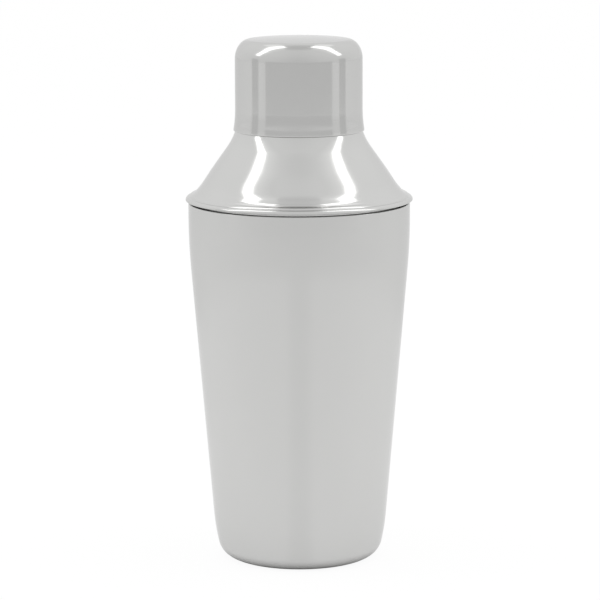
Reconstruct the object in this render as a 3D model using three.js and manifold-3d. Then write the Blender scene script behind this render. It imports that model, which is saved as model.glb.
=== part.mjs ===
// A small three-piece shaker: tapered tumbler, conical shoulder with a strainer in its neck, and cap.
// Millimetres, +Z up, origin at the centre of the foot. Every piece is turned about the Z axis.

import * as THREE from 'three';
import { mergeVertices } from 'three/addons/utils/BufferGeometryUtils.js';
import Module from 'manifold-3d';

// Sheet metal
const SHEET = 0.6;                 // wall of the tumbler, the shoulder and the cap
const BEND_RADIUS = 0.9;           // inside radius of the step that pushes the foot up

// Tumbler
const TUMBLER_HEIGHT = 118.2;
const RIM_RADIUS = 36.25;          // outside of the straight collar
const COLLAR_HEIGHT = 4.7;         // straight stretch below the rim
const COLLAR_BLEND_RADIUS = 204;   // long arc from the collar into the taper
const TAPER_DEG = 4.83;            // half angle of the tapered wall
const HEEL_SWEEP_RADIUS = 69.2;    // slow inward curve above the heel
const HEEL_SWEEP_DEG = 12.9;       // wall angle where the heel takes over
const HEEL_RADIUS = 6.26;
const FOOT_WIDTH = 3.5;            // flat ring that the shaker stands on
const FOOT_RECESS = 1.2;           // height of the pushed-up middle of the foot

// Seal ring, a band between the shoulder's skirt and the tumbler's collar
const SEAL_WALL = 0.6;
const SEAL_HEIGHT = 4;
const SEAL_DROP = 0.35;            // top of the band, below the tumbler's rim
const SEAL_FIT = 0.12;             // clearance on each face of the seal

// Shoulder
const SKIRT_DEPTH = 12;            // reach of the skirt below the tumbler's rim
const FLANGE_GAP = 0.6;            // open joint between the rim and the flange
const FLANGE_OVERHANG = 0.9;       // flange's edge, out past the rim
const FLANGE_SEAT = 0.75;          // flat stretch under the flange, out from the skirt
const EDGE_RISE = 0.38;            // widest point of the flange's edge, up from its underside
const LOWER_FOLD_RADIUS = 1.1;     // quarter round above that point
const UPPER_FOLD_RADIUS = 1.3;     // second round, set back on top of the first
const UPPER_FOLD_FROM_DEG = 22;    // stretch of the second round that shows, from its widest point
const UPPER_FOLD_TO_DEG = 67;
const CREASE_RADIUS = 3.7;         // tight concave bend down to the crease above the folds
const CREASE_DEG = 74;             // angle from the upright that the bend ends with
const SWELL_RADIUS = 40;           // faint convex swell above the bend
const SWELL_DEG = 39;              // angle from the upright that the swell ends with
const CONE_FLARE_RADIUS = 14;      // slow concave flare at the foot of the cone
const CONE_FLARE_DEG = 41;         // angle from the upright that the flare ends with
const CONE_DEG = 35.1;             // half angle of the cone
const NECK_RADIUS = 19.86;
const NECK_FILLET = 18.7;          // concave sweep from the cone into the neck
const NECK_STRAIGHT = 12.1;        // plain neck above the sweep

// Strainer, a perforated cup pressed into the neck
const STRAINER_SHEET = 0.5;
const STRAINER_FIT = 0.12;         // clearance to the neck
const STRAINER_DEPTH = 6;          // from the strainer's rim down to its floor
const STRAINER_CORNER = 1.5;       // inside radius where the wall turns into the floor
const HOLE_DIAMETER = 3.2;
const HOLE_WEB = 2;                // metal left between the rings of holes
const HOLE_MARGIN = 1.5;           // metal left outside the last ring
const HOLES_PER_RING = 6;          // each ring has this many more than the one inside it

// Cap
const CAP_HEADROOM = 11.5;         // from the strainer's rim up to the inside of the cap's top
const CAP_FIT = 0.32;              // radial clearance to the neck
const CAP_SEAT_GAP = 0.15;         // between the lip and the sweep that it sits on
const CROWN_DEG = 4;               // slope of the domed top where its corner starts
const CAP_CORNER_RUN = 4.7;        // top corner, measured inwards
const CAP_CORNER_DROP = 6.4;       // top corner, measured downwards
const LIP_FLARE = 0.57;            // widening of the cap towards its lip
const LIP_FLARE_HEIGHT = 6.6;

// Fineness of the turned surfaces
const TURN_STEPS = 48;
const HOLE_STEPS = 12;
const EDGE_STEPS = 4;              // rounded edge of a sheet
const CORNER_STEPS = 5;            // tight corners
const SWEEP_STEPS = 3;             // slow curves
const SAME_POINT = 1e-6;           // outline points closer than this are one point

// Sizes that follow
const radians = THREE.MathUtils.degToRad;
const sin = (angle) => Math.sin(radians(angle));
const cos = (angle) => Math.cos(radians(angle));
const tan = (angle) => Math.tan(radians(angle));
const degrees = THREE.MathUtils.radToDeg;

const collarInside = RIM_RADIUS - SHEET;
const skirtRadius = collarInside - SEAL_WALL - 2 * SEAL_FIT;
const flangeBottom = TUMBLER_HEIGHT + FLANGE_GAP;
const flangeRadius = RIM_RADIUS + FLANGE_OVERHANG;
const lowerFoldR = flangeRadius - LOWER_FOLD_RADIUS;
const lowerFoldZ = flangeBottom + EDGE_RISE;
const upperFoldR = lowerFoldR - UPPER_FOLD_RADIUS * cos(UPPER_FOLD_FROM_DEG);
const upperFoldZ = lowerFoldZ + LOWER_FOLD_RADIUS - UPPER_FOLD_RADIUS * sin(UPPER_FOLD_FROM_DEG);
const creaseR = upperFoldR + UPPER_FOLD_RADIUS * cos(UPPER_FOLD_TO_DEG);
const creaseZ = upperFoldZ + UPPER_FOLD_RADIUS * sin(UPPER_FOLD_TO_DEG);
const bendR = creaseR + CREASE_RADIUS * cos(CREASE_DEG);
const bendZ = creaseZ + CREASE_RADIUS * sin(CREASE_DEG);
const swellR = bendR - (CREASE_RADIUS + SWELL_RADIUS) * cos(SWELL_DEG);
const swellZ = bendZ - (CREASE_RADIUS + SWELL_RADIUS) * sin(SWELL_DEG);
const coneFlareR = swellR + (SWELL_RADIUS + CONE_FLARE_RADIUS) * cos(CONE_FLARE_DEG);
const coneFlareZ = swellZ + (SWELL_RADIUS + CONE_FLARE_RADIUS) * sin(CONE_FLARE_DEG);
const coneFootRadius = coneFlareR - CONE_FLARE_RADIUS * cos(CONE_DEG);
const coneFoot = coneFlareZ - CONE_FLARE_RADIUS * sin(CONE_DEG);
const coneTopRadius = NECK_RADIUS + NECK_FILLET * (1 - cos(CONE_DEG));
const coneTop = coneFoot + (coneFootRadius - coneTopRadius) / tan(CONE_DEG);
const sweepTop = coneTop + NECK_FILLET * sin(CONE_DEG);
const neckTop = sweepTop + NECK_STRAIGHT;
const capRadius = NECK_RADIUS + CAP_FIT + SHEET;

// Arc or quarter of an ellipse in the r, z plane; angles in degrees from the +r direction.
function arc(r, z, runRadius, riseRadius, fromDeg, toDeg, steps) {
  const points = [];
  for (let i = 0; i <= steps; i++) {
    const angle = fromDeg + (toDeg - fromDeg) * i / steps;
    points.push(new THREE.Vector2(r + runRadius * cos(angle), z + riseRadius * sin(angle)));
  }
  return points;
}

function circleArc(r, z, radius, fromDeg, toDeg, steps) {
  return arc(r, z, radius, radius, fromDeg, toDeg, steps);
}

// Half-round edge of a sheet whose two faces stand at the radii given.
function topEdge(outer, inner, top) {
  const half = (outer - inner) / 2;
  return circleArc(inner + half, top - half, half, 0, 180, EDGE_STEPS);
}

function bottomEdge(outer, inner, bottom) {
  const half = (outer - inner) / 2;
  return circleArc(inner + half, bottom + half, half, 180, 360, EDGE_STEPS);
}

const at = (r, z) => [new THREE.Vector2(r, z)];

// Turns an outline, counterclockwise in the r, z plane, into a body round the Z axis.
function turn(...stretches) {
  const outline = [];
  for (const next of stretches.flat()) {
    const last = outline.at(-1);
    if (!last || last.distanceTo(next) > SAME_POINT) outline.push(next);
  }
  return new THREE.LatheGeometry(outline, TURN_STEPS).rotateX(Math.PI / 2);
}

const STEEL_COLOUR = 0xc9c9c6;
const SILICONE_COLOUR = 0x141414;

function steel(roughness) {
  return new THREE.MeshStandardMaterial({ color: STEEL_COLOUR, metalness: 1, roughness });
}

function silicone(roughness) {
  return new THREE.MeshStandardMaterial({ color: SILICONE_COLOUR, metalness: 0, roughness });
}

function piece(name, geometry, material) {
  const mesh = new THREE.Mesh(geometry, material);
  mesh.name = name;
  return mesh;
}

// Tumbler. Its two faces are the same outline, the inner one a sheet's thickness further in.
const heelTop = HEEL_RADIUS - HEEL_RADIUS * sin(HEEL_SWEEP_DEG);
const heelSweepZ = heelTop + HEEL_SWEEP_RADIUS * sin(HEEL_SWEEP_DEG);
const heelSweepTop = heelSweepZ - HEEL_SWEEP_RADIUS * sin(TAPER_DEG);
const collarBottom = TUMBLER_HEIGHT - COLLAR_HEIGHT;
const collarBlendR = RIM_RADIUS - COLLAR_BLEND_RADIUS;
const taperTop = collarBottom - COLLAR_BLEND_RADIUS * sin(TAPER_DEG);
const taperTopRadius = collarBlendR + COLLAR_BLEND_RADIUS * cos(TAPER_DEG);
const taperFootRadius = taperTopRadius - (taperTop - heelSweepTop) * tan(TAPER_DEG);
const heelSweepR = taperFootRadius - HEEL_SWEEP_RADIUS * cos(TAPER_DEG);
const footRadius = heelSweepR + (HEEL_SWEEP_RADIUS - HEEL_RADIUS) * cos(HEEL_SWEEP_DEG);

// Step from the recessed middle of the foot down to the ring, by two bends.
const stepReach = 2 * BEND_RADIUS + SHEET;
const stepDeg = degrees(Math.acos(1 - FOOT_RECESS / stepReach));
const ringInner = footRadius - FOOT_WIDTH;
const recessRadius = ringInner - stepReach * sin(stepDeg);

function tumblerFace(inset) {
  const recess = FOOT_RECESS + inset;
  const upperBend = BEND_RADIUS + inset;
  const lowerBend = BEND_RADIUS + SHEET - inset;
  return [
    at(0, recess),
    circleArc(recessRadius, recess - upperBend, upperBend, 90, 90 - stepDeg, SWEEP_STEPS),
    circleArc(ringInner, inset + lowerBend, lowerBend, 270 - stepDeg, 270, SWEEP_STEPS),
    circleArc(footRadius, HEEL_RADIUS, HEEL_RADIUS - inset, -90, -HEEL_SWEEP_DEG, CORNER_STEPS),
    circleArc(heelSweepR, heelSweepZ, HEEL_SWEEP_RADIUS - inset, -HEEL_SWEEP_DEG, -TAPER_DEG, SWEEP_STEPS),
    circleArc(collarBlendR, collarBottom, COLLAR_BLEND_RADIUS - inset, -TAPER_DEG, 0, SWEEP_STEPS),
  ].flat();
}

function tumbler() {
  const outside = tumblerFace(0);
  const inside = tumblerFace(SHEET).reverse();
  return turn(outside, topEdge(RIM_RADIUS, collarInside, TUMBLER_HEIGHT), inside);
}

// Shoulder: skirt, folded flange, cone and neck.
const skirtInside = skirtRadius - SHEET;
const seatR = skirtRadius + FLANGE_SEAT;
const coneWall = SHEET / cos(CONE_DEG);        // sheet measured level through the cone
const neckSweepR = NECK_RADIUS + NECK_FILLET;
const neckInside = NECK_RADIUS - SHEET;
const coneFootInside = coneFoot - (skirtInside - (coneFootRadius - coneWall)) / tan(CONE_DEG);

function shoulder() {
  const below = arc(seatR, lowerFoldZ, flangeRadius - seatR, EDGE_RISE, -90, 0, CORNER_STEPS);
  const lowerFold = circleArc(lowerFoldR, lowerFoldZ, LOWER_FOLD_RADIUS, 0, 90, CORNER_STEPS);
  const upperFold = circleArc(
    upperFoldR,
    upperFoldZ,
    UPPER_FOLD_RADIUS,
    UPPER_FOLD_FROM_DEG,
    UPPER_FOLD_TO_DEG,
    CORNER_STEPS,
  );
  const bend = circleArc(bendR, bendZ, CREASE_RADIUS, 180 + CREASE_DEG, 180 + SWELL_DEG, CORNER_STEPS);
  const swell = circleArc(swellR, swellZ, SWELL_RADIUS, SWELL_DEG, CONE_FLARE_DEG, SWEEP_STEPS);
  const flare = circleArc(
    coneFlareR,
    coneFlareZ,
    CONE_FLARE_RADIUS,
    180 + CONE_FLARE_DEG,
    180 + CONE_DEG,
    SWEEP_STEPS,
  );
  const outerSweep = circleArc(neckSweepR, sweepTop, NECK_FILLET, 180 + CONE_DEG, 180, CORNER_STEPS);
  const innerSweep = circleArc(neckSweepR, sweepTop, NECK_FILLET + SHEET, 180, 180 + CONE_DEG, CORNER_STEPS);
  const hem = bottomEdge(skirtRadius, skirtInside, TUMBLER_HEIGHT - SKIRT_DEPTH);
  return turn(
    hem,
    at(skirtRadius, flangeBottom),
    below,
    lowerFold,
    upperFold,
    bend,
    swell,
    flare,
    outerSweep,
    topEdge(NECK_RADIUS, neckInside, neckTop),
    innerSweep,
    at(skirtInside, coneFootInside),
    hem[0],
  );
}

function sealRing() {
  const inner = skirtRadius + SEAL_FIT;
  const outer = inner + SEAL_WALL;
  const top = TUMBLER_HEIGHT - SEAL_DROP;
  const foot = bottomEdge(outer, inner, top - SEAL_HEIGHT);
  return turn(foot, topEdge(outer, inner, top), foot[0]);
}

// Strainer: a rim over the edge of the neck, a short wall down inside it, and a floor full of holes.
const strainerRimBottom = neckTop + STRAINER_FIT;
const strainerRimTop = strainerRimBottom + STRAINER_SHEET;
const strainerWall = neckInside - STRAINER_FIT;
const strainerInside = strainerWall - STRAINER_SHEET;
const strainerFloor = strainerRimTop - STRAINER_DEPTH;
const floorRadius = strainerInside - STRAINER_CORNER;

function strainerCup() {
  const cornerZ = strainerFloor + STRAINER_CORNER;
  const edgeHalf = STRAINER_SHEET / 2;
  return turn(
    at(0, strainerFloor - STRAINER_SHEET),
    circleArc(floorRadius, cornerZ, STRAINER_CORNER + STRAINER_SHEET, 270, 360, SWEEP_STEPS),
    at(strainerWall, strainerRimBottom),
    circleArc(NECK_RADIUS - edgeHalf, strainerRimBottom + edgeHalf, edgeHalf, -90, 90, EDGE_STEPS),
    circleArc(strainerWall, strainerRimTop - STRAINER_SHEET, STRAINER_SHEET, 90, 180, EDGE_STEPS),
    circleArc(floorRadius, cornerZ, STRAINER_CORNER, 360, 270, SWEEP_STEPS),
    at(0, strainerFloor),
  );
}

function strainerHoles() {
  const radius = HOLE_DIAMETER / 2;
  const pitch = HOLE_DIAMETER + HOLE_WEB;
  const rings = Math.floor((floorRadius - HOLE_MARGIN - radius) / pitch);
  const middle = strainerFloor - STRAINER_SHEET / 2;
  const drillLength = 3 * STRAINER_SHEET;
  const holes = [];
  for (let ring = 0; ring <= rings; ring++) {
    const count = Math.max(1, HOLES_PER_RING * ring);
    for (let i = 0; i < count; i++) {
      const angle = 360 * i / count;
      const drill = new THREE.CylinderGeometry(radius, radius, drillLength, HOLE_STEPS);
      drill.rotateX(Math.PI / 2);
      drill.translate(ring * pitch * cos(angle), ring * pitch * sin(angle), middle);
      holes.push(drill);
    }
  }
  return holes;
}

const wasm = await Module();
wasm.setup();

function toSolid(geometry) {
  const bare = geometry.clone();
  bare.deleteAttribute('normal');
  bare.deleteAttribute('uv');
  const merged = mergeVertices(bare);
  return new wasm.Manifold(new wasm.Mesh({
    numProp: 3,
    vertProperties: new Float32Array(merged.getAttribute('position').array),
    triVerts: new Uint32Array(merged.getIndex().array),
  }));
}

function toGeometry(solid) {
  const mesh = solid.getMesh();
  const geometry = new THREE.BufferGeometry();
  geometry.setAttribute('position', new THREE.BufferAttribute(mesh.vertProperties, 3));
  geometry.setIndex(new THREE.BufferAttribute(mesh.triVerts, 1));
  geometry.computeVertexNormals();
  return geometry;
}

function strainer() {
  let solid = toSolid(strainerCup());
  for (const drill of strainerHoles()) solid = solid.subtract(toSolid(drill));
  return toGeometry(solid);
}

// Cap. The round edge of its lip comes down on the sweep between the shoulder's cone and neck.
const lipRadius = capRadius + LIP_FLARE;
const lipHalf = SHEET / 2;
const lipReach = NECK_FILLET - lipHalf - CAP_SEAT_GAP;
const lipZ = sweepTop - Math.sqrt(lipReach ** 2 - (neckSweepR - (lipRadius - lipHalf)) ** 2);
const lipBottom = lipZ - lipHalf;
const flareRadius = (LIP_FLARE_HEIGHT ** 2 + LIP_FLARE ** 2) / (2 * LIP_FLARE);
const flareDeg = degrees(Math.asin(LIP_FLARE_HEIGHT / flareRadius));
const capCornerR = capRadius - CAP_CORNER_RUN;

// Top corner, a stretch of an ellipse that runs smoothly into the domed top.
function capCorner(inset) {
  const run = CAP_CORNER_RUN - inset;
  const drop = CAP_CORNER_DROP - inset;
  const endDeg = 90 - degrees(Math.atan(tan(CROWN_DEG) * run / drop));
  const crownEdge = capCornerR + run * cos(endDeg);
  const height = drop * sin(endDeg) + crownEdge * tan(CROWN_DEG / 2);
  return { run, drop, endDeg, crownRadius: crownEdge / sin(CROWN_DEG), height };
}

const capCornerZ = strainerRimTop + CAP_HEADROOM - capCorner(SHEET).height;

function capFace(inset) {
  const { run, drop, endDeg, crownRadius, height } = capCorner(inset);
  const flareR = capRadius + flareRadius - inset;
  const crownZ = capCornerZ + height - crownRadius;
  return [
    circleArc(flareR, lipZ + LIP_FLARE_HEIGHT, flareRadius, 180 + flareDeg, 180, SWEEP_STEPS),
    arc(capCornerR, capCornerZ, run, drop, 0, endDeg, CORNER_STEPS),
    circleArc(0, crownZ, crownRadius, 90 - CROWN_DEG, 90, SWEEP_STEPS),
  ].flat();
}

function cap() {
  const lip = bottomEdge(lipRadius, lipRadius - SHEET, lipBottom);
  return turn(lip, capFace(0), capFace(SHEET).reverse(), lip[0]);
}

const shaker = new THREE.Group();
shaker.add(
  piece('tumbler', tumbler(), steel(0.3)),
  piece('seal_ring', sealRing(), silicone(0.65)),
  piece('shoulder', shoulder(), steel(0.14)),
  piece('strainer', strainer(), steel(0.25)),
  piece('cap', cap(), steel(0.12)),
);

export default shaker;
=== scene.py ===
# A small three-piece shaker of polished steel, finished and lit as a studio picture.
# Metres, +Z up, origin at the centre of the foot. Every piece is turned about the Z axis.

import math

import bpy
from mathutils import Matrix, Vector
from mathutils.geometry import delaunay_2d_cdt


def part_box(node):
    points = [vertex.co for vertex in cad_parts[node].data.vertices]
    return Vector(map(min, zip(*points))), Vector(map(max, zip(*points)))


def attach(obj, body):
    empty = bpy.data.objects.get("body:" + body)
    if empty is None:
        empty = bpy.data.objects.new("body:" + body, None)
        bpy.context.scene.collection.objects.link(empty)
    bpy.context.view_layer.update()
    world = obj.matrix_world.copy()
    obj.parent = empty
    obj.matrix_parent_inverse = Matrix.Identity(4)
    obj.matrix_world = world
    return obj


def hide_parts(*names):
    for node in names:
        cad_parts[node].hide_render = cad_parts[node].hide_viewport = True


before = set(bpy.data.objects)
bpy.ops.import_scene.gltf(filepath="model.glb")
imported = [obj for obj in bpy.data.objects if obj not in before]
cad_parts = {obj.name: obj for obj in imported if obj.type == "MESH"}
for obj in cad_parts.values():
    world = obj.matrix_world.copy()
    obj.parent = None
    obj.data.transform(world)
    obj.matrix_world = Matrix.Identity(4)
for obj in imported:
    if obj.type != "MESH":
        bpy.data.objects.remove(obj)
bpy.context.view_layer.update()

MM = 0.001

# Sizes read from the frame
TUMBLER_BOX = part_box("tumbler")
SHOULDER_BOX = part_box("shoulder")
CAP_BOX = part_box("cap")
SEAL_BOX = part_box("seal_ring")
STRAINER_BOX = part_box("strainer")

RIM_RADIUS = TUMBLER_BOX[1].x
TUMBLER_HEIGHT = TUMBLER_BOX[1].z
FLANGE_RADIUS = SHOULDER_BOX[1].x
SKIRT_BOTTOM = SHOULDER_BOX[0].z
NECK_TOP = SHOULDER_BOX[1].z
LIP_RADIUS = CAP_BOX[1].x
LIP_BOTTOM = CAP_BOX[0].z
CAP_TOP = CAP_BOX[1].z
SEAL_BOTTOM = SEAL_BOX[0].z
SEAL_TOP = SEAL_BOX[1].z
NECK_RADIUS = STRAINER_BOX[1].x
STRAINER_TOP = STRAINER_BOX[1].z

# Sheet metal
SHEET = 0.6 * MM                   # wall of the tumbler, the shoulder and the cap
BEND_RADIUS = 0.9 * MM             # inside radius of the step that pushes the foot up
EDGE_EASE = 0.1 * MM               # softening of creases that are sharp in the frame

# Tumbler
COLLAR_HEIGHT = 4.7 * MM           # straight stretch below the rim
COLLAR_BLEND_RADIUS = 204 * MM     # long arc from the collar into the taper
TAPER_DEG = 4.83                   # half angle of the tapered wall
HEEL_SWEEP_RADIUS = 69.2 * MM      # slow inward curve above the heel
HEEL_SWEEP_DEG = 12.9              # wall angle where the heel takes over
HEEL_RADIUS = 6.26 * MM
FOOT_WIDTH = 3.5 * MM              # flat ring that the shaker stands on
FOOT_RECESS = 1.2 * MM             # height of the pushed-up middle of the foot

# Seal ring
SEAL_WALL = 0.6 * MM
SEAL_FIT = 0.12 * MM               # clearance on each face of the seal

# Shoulder
FLANGE_GAP = 0.6 * MM              # open joint between the rim and the flange
FLANGE_SEAT = 0.75 * MM            # flat stretch under the flange, out from the skirt
EDGE_RISE = 0.38 * MM              # widest point of the flange's edge, up from its underside
LOWER_FOLD_RADIUS = 1.1 * MM       # quarter round above that point
UPPER_FOLD_RADIUS = 1.3 * MM       # second round, set back on top of the first
UPPER_FOLD_FROM_DEG = 22           # stretch of the second round that shows, from its widest point
UPPER_FOLD_TO_DEG = 67
FOLD_EASE_DEG = 5                  # each round stops this far short of its crease
CREASE_RADIUS = 3.7 * MM           # tight concave bend down to the crease above the folds
CREASE_DEG = 74                    # lean of the bend at the crease, from the upright
SWELL_RADIUS = 40 * MM             # faint convex swell above the bend
SWELL_DEG = 39                     # lean where the bend meets the swell
CONE_FLARE_RADIUS = 14 * MM        # slow concave flare at the foot of the cone
CONE_FLARE_DEG = 41                # lean where the swell meets the flare
CONE_FOOT_DEG = 33.8               # lean where the flare meets the cone
HOLLOW_RADIUS = 110 * MM           # faint hollow low on the cone
HOLLOW_DEG = 32.6                  # lean where the hollow meets the belly
BELLY_RADIUS = 105 * MM            # faint belly above the hollow
UPPER_CONE_DEG = 35.6              # lean of the straight stretch above the belly
CONE_DEG = 35.1                    # lean of the cone's inner face, which is straight
NECK_EASE_RADIUS = 120 * MM        # slow concave start of the sweep into the neck
NECK_EASE_DEG = 34.5               # lean where the sweep itself starts
NECK_FILLET = 18.7 * MM            # concave sweep from the cone into the neck
SKIRT_BEND = 1.5 * MM              # inside bend from the cone into the skirt

# Strainer
STRAINER_SHEET = 0.5 * MM
STRAINER_FIT = 0.12 * MM           # clearance to the neck
STRAINER_DEPTH = 6 * MM
STRAINER_CORNER = 1.5 * MM         # inside radius where the wall turns into the floor
HOLE_DIAMETER = 3.2 * MM
HOLE_PITCH = 5.2 * MM
HOLE_RINGS = 2
HOLES_PER_RING = 6                 # each ring has this many more than the one inside it
HOLE_EASE = 0.15 * MM              # rounding of the pressed holes' edges

# Cap
CROWN_DEG = 4                      # slope of the domed top where its corner starts
CAP_CORNER_RUN = 4.7 * MM          # top corner, measured inwards
CAP_CORNER_DROP = 6.4 * MM         # top corner, measured downwards
LIP_FLARE = 0.57 * MM              # widening of the cap towards its lip
LIP_FLARE_HEIGHT = 6.6 * MM

# Steel and silicone. Scales of noise are per metre, and ranges are of the noise's value.
STEEL = (0.62, 0.62, 0.612)
BRIGHT_STEEL = (0.64, 0.64, 0.632)
CAP_STEEL = (0.613, 0.613, 0.605)
BODY_FINISH = {"roughness": 0.14, "smear": 0.03, "wave_depth": 0.004 * MM, "line_depth": 0.0004 * MM}
BRIGHT_FINISH = {"roughness": 0.12, "smear": 0.025, "wave_depth": 0.003 * MM, "line_depth": 0.0002 * MM}
STRAINER_FINISH = {"roughness": 0.26, "smear": 0.05, "wave_depth": 0.004 * MM, "line_depth": 0.001 * MM}
EDGE_TINT = 0.86                   # holds back the brightening of steel seen at a glancing angle
SMEAR_SCALE = 55
SMEAR_DETAIL = 5
SMEAR_SHADE = 0.985                # a smear's colour, as a share of the steel's
SMEAR_SHADE_RANGE = (0.3, 0.7)
SMEAR_ROUGH_RANGE = (0.25, 0.75)
LINE_STRETCH = (40, 40, 7000)      # fine along the axis, so the lines run round the piece
LINE_DETAIL = 3
WAVE_SCALE = 90
WAVE_DETAIL = 1
# painted shade: the seal's black stands for the shade deep in the open joint between the rim and the flange
SEAL_PAINTED_SHADE = (0.012, 0.012, 0.013)
GRAIN_SCALE = 9000
GRAIN_DETAIL = 2
GRAIN_DEPTH = 0.02 * MM
GRAIN_STRENGTH = 0.6
GRAIN_ROUGHNESS = (0.5, 0.72)      # low and high on the grain
DUST_SCALE = 400
DUST_DETAIL = 4
DUST_GAIN = 1.6                    # dust's colour, as a multiple of the silicone's
DUST_RANGE = (0.45, 0.8)

# Fineness of the turned surfaces
TURN_STEPS = 192
HOLE_STEPS = 32
ARC_STEP_DEG = 6                   # longest step along a tight arc
LINE_STEP = 3 * MM                 # longest step along a straight or slow stretch
SAME_POINT = 1e-8                  # points closer than this are one point

# Camera, fitted to the photograph's frame of 600 x 600
CAMERA_TARGET = Vector((0, 0, 85.58 * MM))
CAMERA_DISTANCE = 987.3 * MM
CAMERA_PITCH_DEG = 9.69
CAMERA_ROLL_DEG = -0.18
CAMERA_LENS = 180                  # in millimetres, like the sensor's width
CAMERA_SENSOR = 36
CAMERA_SHIFT = 0.0009              # the object stands a little left of the middle

# Studio. Azimuth 0 is the camera's side, positive towards +X.
FLOOR_REACH = 8.0                  # from the middle of the square floor to its sides
FLOOR_ALBEDO = 0.8
FLOOR_NEAR_LEVEL = 1.125           # what polished metal sees of the floor, close to the foot
FLOOR_MID = 0.3                    # the same at this distance
FLOOR_MID_LEVEL = 1.03
FLOOR_FAR = 0.42                   # and from this distance outwards
FLOOR_FAR_LEVEL = 0.905
FLOOR_BACK_GAIN = 0.18             # added behind the object, and half of it at the sides
FLOOR_FRONT_DIP = 0.09             # taken off in a narrow wedge towards the camera
FLOOR_FRONT_DEG = 15               # half width of the wedge
FLOOR_CAMERA_LEVEL = 1.03          # plain white that is laid over the floor for the camera
FLOOR_CAMERA_SHARE = 0.9           # its share; the rest is paper that takes the shadow
FLOOR_MIRROR_SHARE = 0.5           # share of plain white in the floor that the metal mirrors
FLOOR_SHADE_FROM = 23 * MM         # that share fades in under the heel, between these distances
FLOOR_SHADE_TO = 29 * MM
FLOOR_UNDER_SHARE = 0.7            # share that the underside of the foot mirrors
FLOOR_UNDER_FROM = 20.5 * MM       # it fades out between these distances
FLOOR_UNDER_TO = 22 * MM
SKY_FRONT = 0.757                  # the room's level on the camera's side
SKY_BACK = 0.93                    # and behind the object
SKY_CAMERA_LEVEL = 1.0             # plain white for the camera
SKY_SIDE = 0.035                   # added to both sides
SKY_SIDE_FULL = 0.7                # sideways part of the direction that has all of it
SKY_RISE = 0.06                    # added above the horizon
SKY_RISE_FULL = 0.7                # upward part of the direction that has all of it
SKY_ZENITH_DIP = 0.18              # taken off straight up
SKY_ZENITH_FROM = 0.85             # upward part of the direction where that starts
LIGHT_HEIGHT = 1.14
SOFTBOX_LEVEL = 2.2
SOFTBOX_STATIONS = [               # distance out from the middle, front edge and back edge
    (0.22, -0.05, 0.25),
    (0.60, -0.18, 0.15),
    (1.00, -0.315, -0.03),
    (1.25, -0.39, -0.075),
    (1.65, -0.445, -0.11),
    (2.10, -0.495, -0.06),
    (2.70, -0.55, -0.06),
]
SPILL_FRONT_LEVEL = 0.85           # soft edge in front of each softbox
SPILL_BACK_LEVEL = 1.04
SPILL_STATIONS = [
    (0.30, -0.45, -0.08),
    (0.60, -0.60, -0.18),
    (1.00, -0.75, -0.315),
    (1.65, -0.85, -0.445),
]
BACK_SHARE = "back_share"          # 0 along a panel's front edge, 1 along its back edge
VEIL_LEVEL = 1.2                   # thin cloth behind each softbox
VEIL_STATIONS = [
    (0.20, 0.25, 0.70),
    (0.54, 0.19, 0.62),
]
CARD_RADIUS = 1.3
CARD_FRONT_DEG = 61.7              # half width of the grey card behind the camera
CARD_FRONT_TOP = 0.22
CARD_FRONT_LEVEL = 0.71
FLAG_FROM_DEG = 77                 # narrow flags that edge the cap with darker bands
FLAG_TO_DEG = 92.5
FLAG_TOP = 0.36
FLAG_LEVEL = 0.705


def sin(degrees):
    return math.sin(math.radians(degrees))


def cos(degrees):
    return math.cos(math.radians(degrees))


def tan(degrees):
    return math.tan(math.radians(degrees))


# Turned meshes


def circle(r, z, radius, start, stop):
    """Arc of a circle in the r, z plane; angles in degrees from the +r direction."""
    return (r, z, radius, radius, start, stop)


def top_edge(outer, inner, top):
    """Half-round edge of a sheet whose two faces stand at the radii given."""
    half = (outer - inner) / 2
    return circle(inner + half, top - half, half, 0, 180)


def bottom_edge(outer, inner, bottom):
    """The same at a sheet's lower end."""
    half = (outer - inner) / 2
    return circle(inner + half, bottom + half, half, 180, 360)


class Outline:
    """Section of a turned piece in the r, z plane, counterclockwise: points with their outward normals."""

    def __init__(self):
        self.points = []

    def point(self, r, z, normal_r, normal_z):
        """Adds a point, and a straight stretch up to it in short steps."""
        if self.points:
            last_r, last_z = self.points[-1][:2]
            run = r - last_r
            rise = z - last_z
            length = math.hypot(run, rise)
            if length < SAME_POINT:
                return self
            steps = math.ceil(length / LINE_STEP)
            for i in range(1, steps):
                share = i / steps
                place = (last_r + run * share, last_z + rise * share)
                self.points.append((*place, rise / length, -run / length))
        self.points.append((r, z, normal_r, normal_z))
        return self

    def along(self, *arcs):
        """Adds arcs of circles or ellipses, each (r, z, run radius, rise radius, start, stop)."""
        for r, z, run, rise, start, stop in arcs:
            side = 1 if stop > start else -1
            length = max(run, rise) * math.radians(abs(stop - start))
            steps = math.ceil(max(abs(stop - start) / ARC_STEP_DEG, length / LINE_STEP))
            for i in range(steps + 1):
                angle = start + (stop - start) * i / steps
                normal = Vector((side * cos(angle) / run, side * sin(angle) / rise)).normalized()
                self.point(r + run * cos(angle), z + rise * sin(angle), *normal)
        return self

    def back_along(self, *arcs):
        """Adds the same arcs from the last one's end to the first one's start."""
        for r, z, run, rise, start, stop in reversed(arcs):
            self.along((r, z, run, rise, stop, start))
        return self


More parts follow.
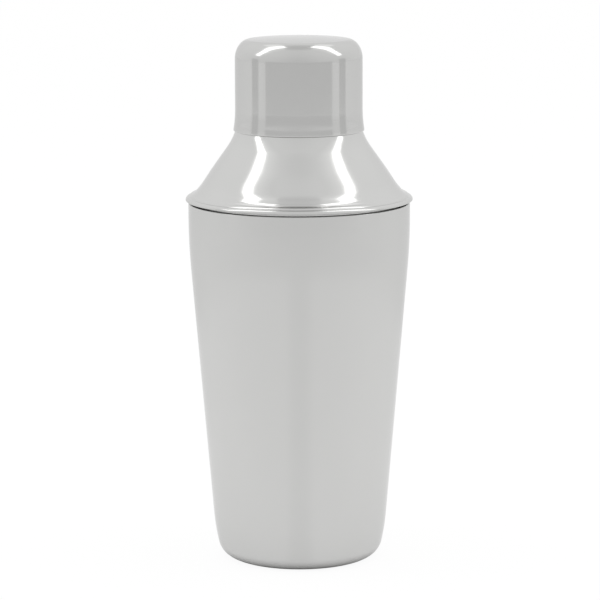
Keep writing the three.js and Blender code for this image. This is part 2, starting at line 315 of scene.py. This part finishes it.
class Skin:
    """A mesh in the making: shared vertices with their normals, and faces."""

    def __init__(self):
        self.places = []
        self.normals = []
        self.faces = []
        self.known = {}

    def vertex(self, place, normal):
        """Number of the vertex at a place, which is added where there is none yet."""
        key = tuple(round(c / SAME_POINT) for c in place)
        if key not in self.known:
            self.known[key] = len(self.places)
            self.places.append(place)
            self.normals.append(normal)
        return self.known[key]

    def face(self, corners):
        """Adds a face, less any corner that falls on the one before it."""
        loop = [c for i, c in enumerate(corners) if c != corners[i - 1]]
        if len(loop) > 2:
            self.faces.append(loop)

    def turn(self, outline, steps, centre=(0, 0), closed=True):
        """Turns an outline about an upright axis through centre."""
        def at(point, step):
            r, z, normal_r, normal_z = point
            angle = 360 * (step % steps) / steps
            place = (centre[0] + r * cos(angle), centre[1] + r * sin(angle), z)
            return self.vertex(place, (normal_r * cos(angle), normal_r * sin(angle), normal_z))

        following = outline.points[1:] + (outline.points[:1] if closed else [])
        for here, there in zip(outline.points, following):
            for step in range(steps):
                self.face([at(here, step), at(here, step + 1), at(there, step + 1), at(there, step)])


def turned(outline):
    """Skin of a piece that is nothing but its closed outline, turned about the Z axis."""
    skin = Skin()
    skin.turn(outline, TURN_STEPS)
    return skin


def add_piece(name, skin, material, body, node):
    """Makes a skin into an object that rides on a body and stands for one of the frame's nodes."""
    mesh = bpy.data.meshes.new(name)
    mesh.from_pydata(skin.places, [], skin.faces)
    mesh.shade_smooth()
    mesh.normals_split_custom_set_from_vertices(skin.normals)
    mesh.materials.append(material)
    piece = bpy.data.objects.new(name, mesh)
    bpy.context.scene.collection.objects.link(piece)
    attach(piece, body)
    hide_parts(node)


# Materials


class Graph:
    """Short forms for building a node tree."""

    def __init__(self, tree):
        self.tree = tree
        tree.nodes.clear()

    def node(self, kind, inputs=None, **settings):
        """Adds a node whose inputs are values, or sockets to link."""
        made = self.tree.nodes.new("ShaderNode" + kind)
        for name, value in settings.items():
            setattr(made, name, value)
        for socket, value in (inputs or {}).items():
            if isinstance(value, bpy.types.NodeSocket):
                self.tree.links.new(value, made.inputs[socket])
            else:
                made.inputs[socket].default_value = value
        return made

    def noise(self, vector, scale, detail):
        return self.node("TexNoise", {"Vector": vector, "Scale": scale, "Detail": detail}).outputs["Fac"]

    def stretched(self, vector, scale):
        return self.node("Mapping", {"Vector": vector, "Scale": scale}).outputs["Vector"]

    def ranged(self, value, low, high, from_low=0.0, from_high=1.0, smooth=False):
        made = self.node("MapRange", {
            "Value": value,
            "From Min": from_low,
            "From Max": from_high,
            "To Min": low,
            "To Max": high,
        }, interpolation_type="SMOOTHSTEP" if smooth else "LINEAR")
        return made.outputs["Result"]

    def math(self, operation, first, second):
        return self.node("Math", {0: first, 1: second}, operation=operation).outputs["Value"]

    def mixed(self, share, first, second):
        return self.node("Mix", {0: share, 2: first, 3: second}).outputs[0]


def new_material(name):
    material = bpy.data.materials.new(name)
    material.use_nodes = True
    return material, Graph(material.node_tree)


def steel(name, colour, roughness, smear, wave_depth, line_depth):
    """Polished stainless steel: faint waves of the drawn sheet, turning lines and smears of handling."""
    material, graph = new_material(name)
    place = graph.node("TexCoord").outputs["Object"]
    smears = graph.noise(place, SMEAR_SCALE, SMEAR_DETAIL)
    lines = graph.noise(graph.stretched(place, LINE_STRETCH), 1, LINE_DETAIL)
    waves = graph.noise(place, WAVE_SCALE, WAVE_DETAIL)
    tint = graph.node("MixRGB", {
        "Fac": graph.ranged(smears, 0, 1, *SMEAR_SHADE_RANGE),
        "Color1": (*[c * SMEAR_SHADE for c in colour], 1),
        "Color2": (*colour, 1),
    }).outputs["Color"]
    worn = graph.ranged(smears, roughness - smear, roughness + smear, *SMEAR_ROUGH_RANGE)
    rough = graph.math("ADD", worn, graph.ranged(lines, -smear / 2, smear / 2))
    wavy = graph.node("Bump", {"Height": waves, "Distance": wave_depth, "Strength": 1}).outputs["Normal"]
    lined = graph.node("Bump", {"Height": lines, "Distance": line_depth, "Strength": 1, "Normal": wavy})
    shader = graph.node("BsdfPrincipled", {
        "Base Color": tint,
        "Metallic": 1.0,
        "Roughness": rough,
        "Specular Tint": (EDGE_TINT, EDGE_TINT, EDGE_TINT, 1),
        "Normal": lined.outputs["Normal"],
    })
    graph.node("OutputMaterial", {"Surface": shader.outputs["BSDF"]})
    return material


def silicone(name, colour):
    """Matt black silicone with a fine moulded grain and specks of dust; on the seal the black is painted
    shade, darkening the open joint under the flange.
    """
    material, graph = new_material(name)
    place = graph.node("TexCoord").outputs["Object"]
    grain = graph.noise(place, GRAIN_SCALE, GRAIN_DETAIL)
    dust = graph.noise(place, DUST_SCALE, DUST_DETAIL)
    tint = graph.node("MixRGB", {
        "Fac": graph.ranged(dust, 0, 1, *DUST_RANGE),
        "Color1": (*colour, 1),
        "Color2": (*[c * DUST_GAIN for c in colour], 1),
    }).outputs["Color"]
    bump = graph.node("Bump", {"Height": grain, "Distance": GRAIN_DEPTH, "Strength": GRAIN_STRENGTH})
    shader = graph.node("BsdfPrincipled", {
        "Base Color": tint,
        "Roughness": graph.ranged(grain, *GRAIN_ROUGHNESS),
        "Normal": bump.outputs["Normal"],
    })
    graph.node("OutputMaterial", {"Surface": shader.outputs["BSDF"]})
    return material


# Tumbler. Its two faces are the same outline, the inner one a sheet's thickness further in.
heel_top = HEEL_RADIUS - HEEL_RADIUS * sin(HEEL_SWEEP_DEG)
heel_sweep_z = heel_top + HEEL_SWEEP_RADIUS * sin(HEEL_SWEEP_DEG)
heel_sweep_top = heel_sweep_z - HEEL_SWEEP_RADIUS * sin(TAPER_DEG)
collar_bottom = TUMBLER_HEIGHT - COLLAR_HEIGHT
collar_blend_r = RIM_RADIUS - COLLAR_BLEND_RADIUS
taper_top = collar_bottom - COLLAR_BLEND_RADIUS * sin(TAPER_DEG)
taper_top_radius = collar_blend_r + COLLAR_BLEND_RADIUS * cos(TAPER_DEG)
taper_foot_radius = taper_top_radius - (taper_top - heel_sweep_top) * tan(TAPER_DEG)
heel_sweep_r = taper_foot_radius - HEEL_SWEEP_RADIUS * cos(TAPER_DEG)
foot_radius = heel_sweep_r + (HEEL_SWEEP_RADIUS - HEEL_RADIUS) * cos(HEEL_SWEEP_DEG)
step_reach = 2 * BEND_RADIUS + SHEET
step_deg = math.degrees(math.acos(1 - FOOT_RECESS / step_reach))
ring_inner = foot_radius - FOOT_WIDTH
recess_radius = ring_inner - step_reach * sin(step_deg)


def tumbler_face(inset):
    """Arcs of one face, from the pushed-up middle of the foot to the collar."""
    upper_bend = BEND_RADIUS + inset
    lower_bend = BEND_RADIUS + SHEET - inset
    return [
        circle(recess_radius, FOOT_RECESS + inset - upper_bend, upper_bend, 90, 90 - step_deg),
        circle(ring_inner, inset + lower_bend, lower_bend, 270 - step_deg, 270),
        circle(foot_radius, HEEL_RADIUS, HEEL_RADIUS - inset, -90, -HEEL_SWEEP_DEG),
        circle(heel_sweep_r, heel_sweep_z, HEEL_SWEEP_RADIUS - inset, -HEEL_SWEEP_DEG, -TAPER_DEG),
        circle(collar_blend_r, collar_bottom, COLLAR_BLEND_RADIUS - inset, -TAPER_DEG, 0),
    ]


def tumbler_skin():
    outline = Outline().point(0, FOOT_RECESS, 0, -1)
    outline.along(*tumbler_face(0))
    outline.along(top_edge(RIM_RADIUS, RIM_RADIUS - SHEET, TUMBLER_HEIGHT))
    outline.back_along(*tumbler_face(SHEET))
    outline.point(0, FOOT_RECESS + SHEET, 0, 1)
    return turned(outline)


# Shoulder: skirt, folded flange, cone and neck.
skirt_radius = RIM_RADIUS - SHEET - SEAL_WALL - 2 * SEAL_FIT
skirt_inside = skirt_radius - SHEET
flange_bottom = TUMBLER_HEIGHT + FLANGE_GAP
lower_fold_r = FLANGE_RADIUS - LOWER_FOLD_RADIUS
lower_fold_z = flange_bottom + EDGE_RISE
upper_fold_r = lower_fold_r - UPPER_FOLD_RADIUS * cos(UPPER_FOLD_FROM_DEG)
upper_fold_z = lower_fold_z + LOWER_FOLD_RADIUS - UPPER_FOLD_RADIUS * sin(UPPER_FOLD_FROM_DEG)
crease_r = upper_fold_r + UPPER_FOLD_RADIUS * cos(UPPER_FOLD_TO_DEG)
crease_z = upper_fold_z + UPPER_FOLD_RADIUS * sin(UPPER_FOLD_TO_DEG)
bend_r = crease_r + CREASE_RADIUS * cos(CREASE_DEG)
bend_z = crease_z + CREASE_RADIUS * sin(CREASE_DEG)
swell_r = bend_r - (CREASE_RADIUS + SWELL_RADIUS) * cos(SWELL_DEG)
swell_z = bend_z - (CREASE_RADIUS + SWELL_RADIUS) * sin(SWELL_DEG)
cone_flare_r = swell_r + (SWELL_RADIUS + CONE_FLARE_RADIUS) * cos(CONE_FLARE_DEG)
cone_flare_z = swell_z + (SWELL_RADIUS + CONE_FLARE_RADIUS) * sin(CONE_FLARE_DEG)
cone_foot_radius = cone_flare_r - CONE_FLARE_RADIUS * cos(CONE_FOOT_DEG)
cone_foot = cone_flare_z - CONE_FLARE_RADIUS * sin(CONE_FOOT_DEG)
hollow_r = cone_foot_radius + HOLLOW_RADIUS * cos(CONE_FOOT_DEG)
hollow_z = cone_foot + HOLLOW_RADIUS * sin(CONE_FOOT_DEG)
belly_r = hollow_r - (HOLLOW_RADIUS + BELLY_RADIUS) * cos(HOLLOW_DEG)
belly_z = hollow_z - (HOLLOW_RADIUS + BELLY_RADIUS) * sin(HOLLOW_DEG)
belly_end_radius = belly_r + BELLY_RADIUS * cos(UPPER_CONE_DEG)
belly_end = belly_z + BELLY_RADIUS * sin(UPPER_CONE_DEG)
neck_sweep_r = NECK_RADIUS + NECK_FILLET
neck_ease_r = neck_sweep_r + (NECK_EASE_RADIUS - NECK_FILLET) * cos(NECK_EASE_DEG)
cone_top_radius = neck_ease_r - NECK_EASE_RADIUS * cos(UPPER_CONE_DEG)
cone_top = belly_end + (belly_end_radius - cone_top_radius) / tan(UPPER_CONE_DEG)
neck_ease_z = cone_top + NECK_EASE_RADIUS * sin(UPPER_CONE_DEG)
sweep_top = neck_ease_z - (NECK_EASE_RADIUS - NECK_FILLET) * sin(NECK_EASE_DEG)
neck_inside = NECK_RADIUS - SHEET
seat_r = skirt_radius + FLANGE_SEAT
cone_wall = SHEET / cos(CONE_DEG)              # sheet measured level through the cone
cone_foot_inside = cone_foot - (skirt_inside - (cone_foot_radius - cone_wall)) / tan(CONE_DEG)


def shoulder_skin():
    inner_bend_r = skirt_inside - SKIRT_BEND
    inner_bend_z = cone_foot_inside - SKIRT_BEND * tan(CONE_DEG / 2)
    upper_from = UPPER_FOLD_FROM_DEG + FOLD_EASE_DEG
    upper_to = UPPER_FOLD_TO_DEG - FOLD_EASE_DEG
    outline = Outline()
    outline.along(
        bottom_edge(skirt_radius, skirt_inside, SKIRT_BOTTOM),
        circle(skirt_radius + EDGE_EASE, flange_bottom - EDGE_EASE, EDGE_EASE, 180, 90),
        (seat_r, lower_fold_z, FLANGE_RADIUS - seat_r, EDGE_RISE, -90, 0),
        circle(lower_fold_r, lower_fold_z, LOWER_FOLD_RADIUS, 0, 90 - FOLD_EASE_DEG),
        circle(upper_fold_r, upper_fold_z, UPPER_FOLD_RADIUS, upper_from, upper_to),
        circle(bend_r, bend_z, CREASE_RADIUS, 180 + CREASE_DEG, 180 + SWELL_DEG),
        circle(swell_r, swell_z, SWELL_RADIUS, SWELL_DEG, CONE_FLARE_DEG),
        circle(cone_flare_r, cone_flare_z, CONE_FLARE_RADIUS, 180 + CONE_FLARE_DEG, 180 + CONE_FOOT_DEG),
        circle(hollow_r, hollow_z, HOLLOW_RADIUS, 180 + CONE_FOOT_DEG, 180 + HOLLOW_DEG),
        circle(belly_r, belly_z, BELLY_RADIUS, HOLLOW_DEG, UPPER_CONE_DEG),
        circle(neck_ease_r, neck_ease_z, NECK_EASE_RADIUS, 180 + UPPER_CONE_DEG, 180 + NECK_EASE_DEG),
        circle(neck_sweep_r, sweep_top, NECK_FILLET, 180 + NECK_EASE_DEG, 180),
        top_edge(NECK_RADIUS, neck_inside, NECK_TOP),
        circle(neck_sweep_r, sweep_top, NECK_FILLET + SHEET, 180, 180 + CONE_DEG),
        circle(inner_bend_r, inner_bend_z, SKIRT_BEND, CONE_DEG, 0),
    )
    outline.point(skirt_inside, SKIRT_BOTTOM + SHEET / 2, -1, 0)
    return turned(outline)


# Seal ring: a band between the skirt and the tumbler's collar.
def seal_skin():
    inner = skirt_radius + SEAL_FIT
    outer = inner + SEAL_WALL
    outline = Outline().along(bottom_edge(outer, inner, SEAL_BOTTOM), top_edge(outer, inner, SEAL_TOP))
    return turned(outline)


# Strainer: a rim over the edge of the neck, a short wall down inside it, and a floor full of holes.
strainer_wall = neck_inside - STRAINER_FIT
strainer_inside = strainer_wall - STRAINER_SHEET
strainer_floor = STRAINER_TOP - STRAINER_DEPTH
strainer_under = strainer_floor - STRAINER_SHEET
floor_radius = strainer_inside - STRAINER_CORNER
hole_mouth = HOLE_DIAMETER / 2 + HOLE_EASE


def strainer_cup():
    """Section from the underside of the floor, up the wall and round the rim, to the floor's upper face."""
    corner_z = strainer_floor + STRAINER_CORNER
    half = STRAINER_SHEET / 2
    rim_bottom = STRAINER_TOP - STRAINER_SHEET
    return Outline().along(
        circle(floor_radius, corner_z, STRAINER_CORNER + STRAINER_SHEET, 270, 360),
        circle(strainer_wall + EDGE_EASE, rim_bottom - EDGE_EASE, EDGE_EASE, 180, 90),
        circle(NECK_RADIUS - half, STRAINER_TOP - half, half, -90, 90),
        circle(strainer_wall, rim_bottom, STRAINER_SHEET, 90, 180),
        circle(floor_radius, corner_z, STRAINER_CORNER, 360, 270),
    )


def hole_centres():
    """One hole in the middle, and rings of holes round it."""
    centres = []
    for ring in range(HOLE_RINGS + 1):
        count = max(1, HOLES_PER_RING * ring)
        for i in range(count):
            angle = 360 * i / count
            centres.append((ring * HOLE_PITCH * cos(angle), ring * HOLE_PITCH * sin(angle)))
    return centres


def hole_wall():
    """Section of a hole's wall, from the floor's upper face to its underside."""
    return Outline().along(
        circle(hole_mouth, strainer_floor - HOLE_EASE, HOLE_EASE, 90, 180),
        circle(hole_mouth, strainer_under + HOLE_EASE, HOLE_EASE, 180, 270),
    )


def ring_of_points(radius, steps, centre=(0, 0)):
    angles = [360 * i / steps for i in range(steps)]
    return [Vector((centre[0] + radius * cos(a), centre[1] + radius * sin(a))) for a in angles]


def floor_triangles():
    """Flat triangles of the perforated floor, as points in the x, y plane."""
    centres = hole_centres()
    loops = [ring_of_points(floor_radius, TURN_STEPS)]
    loops += [ring_of_points(hole_mouth, HOLE_STEPS, centre) for centre in centres]
    points = []
    edges = []
    for loop in loops:
        first = len(points)
        points += loop
        edges += [(first + i, first + (i + 1) % len(loop)) for i in range(len(loop))]
    inside_only = 1
    _, _, faces, sources, _, _ = delaunay_2d_cdt(points, edges, [], inside_only, SAME_POINT)
    triangles = []
    for face in faces:
        corners = [points[sources[i][0]] for i in face]
        middle = sum(corners, Vector((0, 0))) / len(corners)
        if all((middle - Vector(centre)).length > hole_mouth for centre in centres):
            triangles.append(corners)
    return triangles


def strainer_skin():
    skin = Skin()
    skin.turn(strainer_cup(), TURN_STEPS, closed=False)
    for centre in hole_centres():
        skin.turn(hole_wall(), HOLE_STEPS, centre, closed=False)
    for corners in floor_triangles():
        skin.face([skin.vertex((*c, strainer_floor), (0, 0, 1)) for c in corners])
        skin.face([skin.vertex((*c, strainer_under), (0, 0, -1)) for c in reversed(corners)])
    return skin


# Cap: flared lip, straight wall, rounded corner and slightly domed top.
cap_radius = LIP_RADIUS - LIP_FLARE
lip_z = LIP_BOTTOM + SHEET / 2
flare_radius = (LIP_FLARE_HEIGHT ** 2 + LIP_FLARE ** 2) / (2 * LIP_FLARE)
flare_deg = math.degrees(math.asin(LIP_FLARE_HEIGHT / flare_radius))
cap_corner_r = cap_radius - CAP_CORNER_RUN


def cap_corner(inset):
    """The corner's radii and end angle, the crown's radius, and its height over the corner's centre."""
    run = CAP_CORNER_RUN - inset
    drop = CAP_CORNER_DROP - inset
    end_deg = 90 - math.degrees(math.atan(tan(CROWN_DEG) * run / drop))
    crown_edge = cap_corner_r + run * cos(end_deg)
    height = drop * sin(end_deg) + crown_edge * tan(CROWN_DEG / 2)
    return run, drop, end_deg, crown_edge / sin(CROWN_DEG), height


*_, cap_corner_height = cap_corner(0)
cap_corner_z = CAP_TOP - cap_corner_height


def cap_face(inset):
    """Arcs of one face, from the lip to the middle of the crown."""
    run, drop, end_deg, crown_radius, height = cap_corner(inset)
    crown_z = cap_corner_z + height - crown_radius
    flare_r = cap_radius + flare_radius - inset
    return [
        circle(flare_r, lip_z + LIP_FLARE_HEIGHT, flare_radius, 180 + flare_deg, 180),
        (cap_corner_r, cap_corner_z, run, drop, 0, end_deg),
        circle(0, crown_z, crown_radius, 90 - CROWN_DEG, 90),
    ]


def cap_skin():
    outline = Outline().along(bottom_edge(LIP_RADIUS, LIP_RADIUS - SHEET, LIP_BOTTOM))
    outline.along(*cap_face(0))
    outline.back_along(*cap_face(SHEET))
    return turned(outline)


# Studio


def stage_mesh(name, places, faces, material, seen_by_camera):
    """Adds a mesh that is part of the studio and not of the object."""
    mesh = bpy.data.meshes.new(name)
    mesh.from_pydata(places, [], faces)
    mesh.materials.append(material)
    made = bpy.data.objects.new(name, mesh)
    bpy.context.scene.collection.objects.link(made)
    made.visible_camera = seen_by_camera
    return made


def glow(name, level):
    """Plain light of an even level."""
    material, graph = new_material(name)
    light = graph.node("Emission", {"Strength": level})
    graph.node("OutputMaterial", {"Surface": light.outputs["Emission"]})
    return material


def floor_material():
    """White paper that keeps the object's shadow, paler near the object; see-through from below."""
    material, graph = new_material("white_paper")
    place = graph.node("TexCoord").outputs["Object"]
    away = graph.node("VectorMath", {0: place}, operation="LENGTH").outputs["Value"]
    rays = graph.node("LightPath").outputs
    towards = graph.node("VectorMath", {0: place}, operation="NORMALIZE").outputs["Vector"]
    behind = graph.node("SeparateXYZ", {0: towards}).outputs["Y"]
    near = graph.ranged(away, FLOOR_NEAR_LEVEL - FLOOR_MID_LEVEL, 0, 0, FLOOR_MID, smooth=True)
    fading = graph.ranged(away, FLOOR_MID_LEVEL, FLOOR_FAR_LEVEL, FLOOR_MID, FLOOR_FAR, smooth=True)
    back_gain = graph.ranged(behind, 0, FLOOR_BACK_GAIN, -1, 1)
    wedge = graph.ranged(behind, FLOOR_FRONT_DIP, 0, -1, -cos(FLOOR_FRONT_DEG), smooth=True)
    front_dip = graph.math("MULTIPLY", wedge, graph.ranged(away, 1, 0, FLOOR_MID, FLOOR_FAR, smooth=True))
    plain = graph.math("ADD", graph.math("ADD", near, fading), back_gain)
    level = graph.math("SUBTRACT", plain, front_dip)
    seen = graph.mixed(rays["Is Camera Ray"], level, FLOOR_CAMERA_LEVEL)
    white = graph.node("Emission", {"Strength": seen}).outputs["Emission"]
    paper_colour = (FLOOR_ALBEDO, FLOOR_ALBEDO, FLOOR_ALBEDO, 1)
    paper = graph.node("BsdfDiffuse", {"Color": paper_colour}).outputs["BSDF"]
    mirrored = graph.math("MAXIMUM", rays["Is Glossy Ray"], rays["Is Transmission Ray"])
    to_camera = graph.math("MULTIPLY", rays["Is Camera Ray"], FLOOR_CAMERA_SHARE)
    around = graph.ranged(away, 0, FLOOR_MIRROR_SHARE, FLOOR_SHADE_FROM, FLOOR_SHADE_TO)
    under = graph.ranged(away, FLOOR_UNDER_SHARE, 0, FLOOR_UNDER_FROM, FLOOR_UNDER_TO)
    to_mirror = graph.math("MULTIPLY", mirrored, graph.math("MAXIMUM", around, under))
    share = graph.math("MAXIMUM", to_camera, to_mirror)
    above = graph.node("MixShader", {0: share, 1: paper, 2: white}).outputs["Shader"]
    below = graph.node("BsdfTransparent").outputs["BSDF"]
    back = graph.node("NewGeometry").outputs["Backfacing"]
    whole = graph.node("MixShader", {0: back, 1: above, 2: below})
    graph.node("OutputMaterial", {"Surface": whole.outputs["Shader"]})
    return material


def add_floor():
    corners = [(FLOOR_REACH * x, FLOOR_REACH * y, 0) for x, y in ((-1, -1), (1, -1), (1, 1), (-1, 1))]
    stage_mesh("floor", corners, [(0, 1, 2, 3)], floor_material(), True)


def add_card(name, from_deg, to_deg, top, level):
    """A grey card that stands on the floor in an arc of one-degree steps, for the metal to mirror."""
    steps = math.ceil(to_deg - from_deg)
    places = []
    for i in range(steps + 1):
        azimuth = from_deg + (to_deg - from_deg) * i / steps
        x = CARD_RADIUS * sin(azimuth)
        y = -CARD_RADIUS * cos(azimuth)
        places += [(x, y, 0), (x, y, top)]
    faces = [(2 * i, 2 * i + 2, 2 * i + 3, 2 * i + 1) for i in range(steps)]
    card = stage_mesh(name, places, faces, glow(name, level), False)
    card.visible_diffuse = False
    card.visible_shadow = False


def fading_glow(name, front_level, back_level):
    """Light whose level runs evenly from a panel's front edge to its back edge."""
    material, graph = new_material(name)
    share = graph.node("Attribute", attribute_name=BACK_SHARE).outputs["Fac"]
    light = graph.node("Emission", {"Strength": graph.ranged(share, front_level, back_level, 0, 1)})
    graph.node("OutputMaterial", {"Surface": light.outputs["Emission"]})
    return material


def add_overhead(name, stations, material):
    """A pair of flat lights overhead, one to each side of the middle."""
    for side_name, side in (("left_", -1), ("right_", 1)):
        places = []
        for out, front, back in stations:
            places += [(side * out, front, LIGHT_HEIGHT), (side * out, back, LIGHT_HEIGHT)]
        faces = [(2 * i, 2 * i + 1, 2 * i + 3, 2 * i + 2) for i in range(len(stations) - 1)]
        panel = stage_mesh(side_name + name, places, faces, material, False)
        shares = panel.data.attributes.new(BACK_SHARE, "FLOAT", "POINT")
        shares.data.foreach_set("value", [0.0, 1.0] * len(stations))


def add_world():
    """White round the object: a little darker towards the camera and straight up."""
    world = bpy.data.worlds.new("white_room")
    world.use_nodes = True
    bpy.context.scene.world = world
    graph = Graph(world.node_tree)
    towards = graph.node("SeparateXYZ", {0: graph.node("TexCoord").outputs["Generated"]}).outputs
    walls = graph.ranged(towards["Y"], SKY_FRONT, SKY_BACK, -1, 1)
    aside = graph.node("Math", {0: towards["X"]}, operation="ABSOLUTE").outputs["Value"]
    sides = graph.ranged(aside, 0, SKY_SIDE, 0, SKY_SIDE_FULL, smooth=True)
    rise = graph.ranged(towards["Z"], 0, SKY_RISE, 0, SKY_RISE_FULL, smooth=True)
    dip = graph.ranged(towards["Z"], 0, SKY_ZENITH_DIP, SKY_ZENITH_FROM, 1, smooth=True)
    level = graph.math("SUBTRACT", graph.math("ADD", graph.math("ADD", walls, sides), rise), dip)
    camera_ray = graph.node("LightPath").outputs["Is Camera Ray"]
    strength = graph.mixed(camera_ray, level, SKY_CAMERA_LEVEL)
    light = graph.node("Background", {"Color": (1, 1, 1, 1), "Strength": strength})
    graph.node("OutputWorld", {"Surface": light.outputs["Background"]})


def add_camera():
    data = bpy.data.cameras.new("camera")
    data.sensor_width = CAMERA_SENSOR
    data.lens = CAMERA_LENS
    data.shift_x = CAMERA_SHIFT
    camera = bpy.data.objects.new("camera", data)
    bpy.context.scene.collection.objects.link(camera)
    back = Vector((0, -cos(CAMERA_PITCH_DEG), sin(CAMERA_PITCH_DEG)))
    aim = (-back).to_track_quat("-Z", "Y").to_matrix().to_4x4()
    roll = Matrix.Rotation(math.radians(CAMERA_ROLL_DEG), 4, "Z")
    camera.matrix_world = Matrix.Translation(CAMERA_TARGET + back * CAMERA_DISTANCE) @ aim @ roll
    bpy.context.scene.camera = camera


bpy.context.scene.view_settings.view_transform = "Standard"
add_camera()
add_world()
add_floor()
add_card("front_card", -CARD_FRONT_DEG, CARD_FRONT_DEG, CARD_FRONT_TOP, CARD_FRONT_LEVEL)
add_card("left_flag", -FLAG_TO_DEG, -FLAG_FROM_DEG, FLAG_TOP, FLAG_LEVEL)
add_card("right_flag", FLAG_FROM_DEG, FLAG_TO_DEG, FLAG_TOP, FLAG_LEVEL)
add_overhead("softbox", SOFTBOX_STATIONS, glow("softbox", SOFTBOX_LEVEL))
add_overhead("spill", SPILL_STATIONS, fading_glow("spill", SPILL_FRONT_LEVEL, SPILL_BACK_LEVEL))
add_overhead("veil", VEIL_STATIONS, glow("veil", VEIL_LEVEL))

tumbler_steel = steel("tumbler_steel", STEEL, **BODY_FINISH)
shoulder_steel = steel("shoulder_steel", BRIGHT_STEEL, **BRIGHT_FINISH)
cap_steel = steel("cap_steel", CAP_STEEL, **BRIGHT_FINISH)
strainer_steel = steel("strainer_steel", STEEL, **STRAINER_FINISH)
# The seal is black as painted shade, so that the joint under the flange reads dark.
seal_painted_shade = silicone("seal_painted_shade", SEAL_PAINTED_SHADE)

add_piece("polished_tumbler", tumbler_skin(), tumbler_steel, "tumbler", "tumbler")
add_piece("polished_shoulder", shoulder_skin(), shoulder_steel, "shoulder", "shoulder")
add_piece("pressed_strainer", strainer_skin(), strainer_steel, "shoulder", "strainer")
add_piece("moulded_seal", seal_skin(), seal_painted_shade, "shoulder", "seal_ring")
add_piece("polished_cap", cap_skin(), cap_steel, "cap", "cap")
